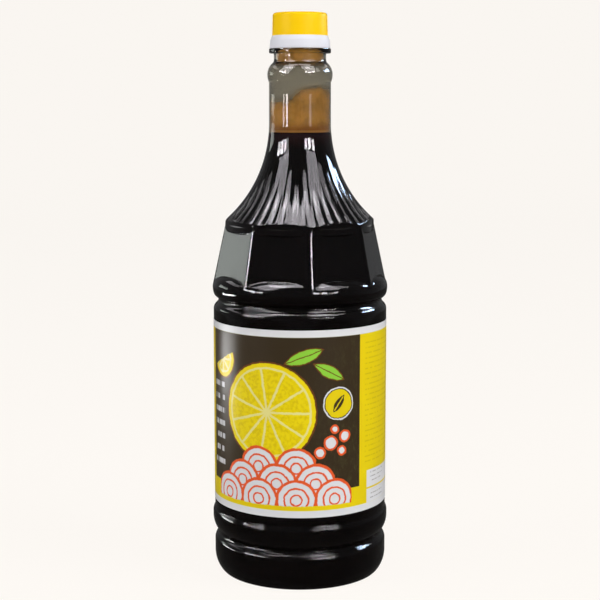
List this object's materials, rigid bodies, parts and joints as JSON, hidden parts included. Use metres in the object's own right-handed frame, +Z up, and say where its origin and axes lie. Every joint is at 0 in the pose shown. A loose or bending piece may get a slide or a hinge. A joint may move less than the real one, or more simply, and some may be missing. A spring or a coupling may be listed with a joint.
{
  "type": "sauce bottle",
  "caption": "Tall clear bottle of dark sauce with a faceted shoulder, a fluted trumpet neck, a wrap label, a collar and a closed cap.",
  "frame": {"origin": "middle of the ring the bottle stands on, on the floor", "axes": "+Z up along the bottle's axis, the middle of the label's front faces -Y"},
  "size_m": [0.107, 0.107, 0.3372],
  "materials": {
    "clear_bottle": "clear gloss",
    "dark_sauce": "liquid",
    "printed_label": "printed film",
    "white_collar": "satin",
    "yellow_cap": "satin"
  },
  "bodies": {
    "root": {"bottle": "clear_bottle", "sauce": "dark_sauce", "label": "printed_label", "collar": "white_collar", "cap": "yellow_cap"}
  },
  "joints": []
}
